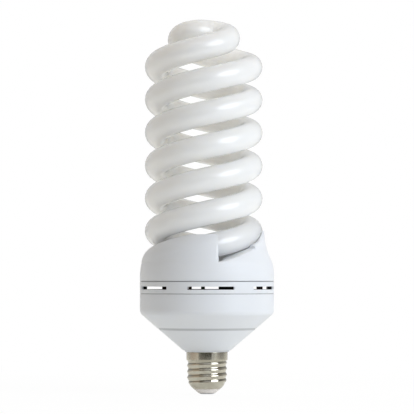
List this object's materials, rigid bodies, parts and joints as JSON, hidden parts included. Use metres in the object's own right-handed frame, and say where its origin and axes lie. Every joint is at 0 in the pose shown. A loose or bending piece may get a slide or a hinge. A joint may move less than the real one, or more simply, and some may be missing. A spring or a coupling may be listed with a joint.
{
  "type": "spiral energy saving bulb",
  "caption": "Compact fluorescent lamp with a tall double-spiral opal glass tube, a white ballast housing with vent slots and a screw cap.",
  "frame": {"origin": "centre of the bottom of the cap's centre contact", "axes": "+Z along the cap's axis, up through the spiral; -Y is the front of the picture, +X its right"},
  "size_m": [0.0894, 0.0894, 0.2495],
  "materials": {
    "opal_glass": "glossy opal white",
    "holder_plastic": "smooth gloss",
    "housing_plastic": "smooth gloss",
    "cap_metal": "nickel plated",
    "cap_insulator": "matte",
    "solder": "soldered",
    "cement": "matte",
    "board": "matte",
    "capacitor_sleeve": "sleeved",
    "ferrite": "matte",
    "bobbin": "matte",
    "copper": "enamelled",
    "thermistor": "matte",
    "tinned_wire": "tinned",
    "resistor": "lacquered",
    "wire_sleeve": "matte",
    "film_capacitor": "dipped",
    "semiconductor": "matte"
  },
  "bodies": {
    "root": {"cap_insulator": "cap_insulator", "centre_contact": "solder", "choke_bobbin": "bobbin", "choke_core": "ferrite", "choke_winding": "copper", "circuit_board": "board", "drive_ring": "ferrite", "drive_windings": "copper", "film_capacitor_a": "film_capacitor", "film_capacitor_b": "film_capacitor", "film_capacitor_c": "film_capacitor", "filter_coil": "copper", "fuse_lead": "tinned_wire", "fuse_resistor": "resistor", "glass_tube": "opal_glass", "live_wire": "wire_sleeve", "lower_housing": "housing_plastic", "main_capacitor": "capacitor_sleeve", "neutral_wire": "wire_sleeve", "rectifier_diode_1": "semiconductor", "rectifier_diode_2": "semiconductor", "rectifier_diode_3": "semiconductor", "rectifier_diode_4": "semiconductor", "resistor_1": "resistor", "resistor_2": "resistor", "screw_shell": "cap_metal", "thermistor": "thermistor", "transistor_a": "semiconductor", "transistor_b": "semiconductor", "tube_cement_back": "cement", "tube_cement_front": "cement", "tube_holder": "holder_plastic", "tube_lead_1": "tinned_wire", "tube_lead_2": "tinned_wire", "tube_lead_3": "tinned_wire", "tube_lead_4": "tinned_wire", "wire_post_1": "tinned_wire", "wire_post_2": "tinned_wire", "wire_post_3": "tinned_wire", "wire_post_4": "tinned_wire"}
  },
  "joints": []
}
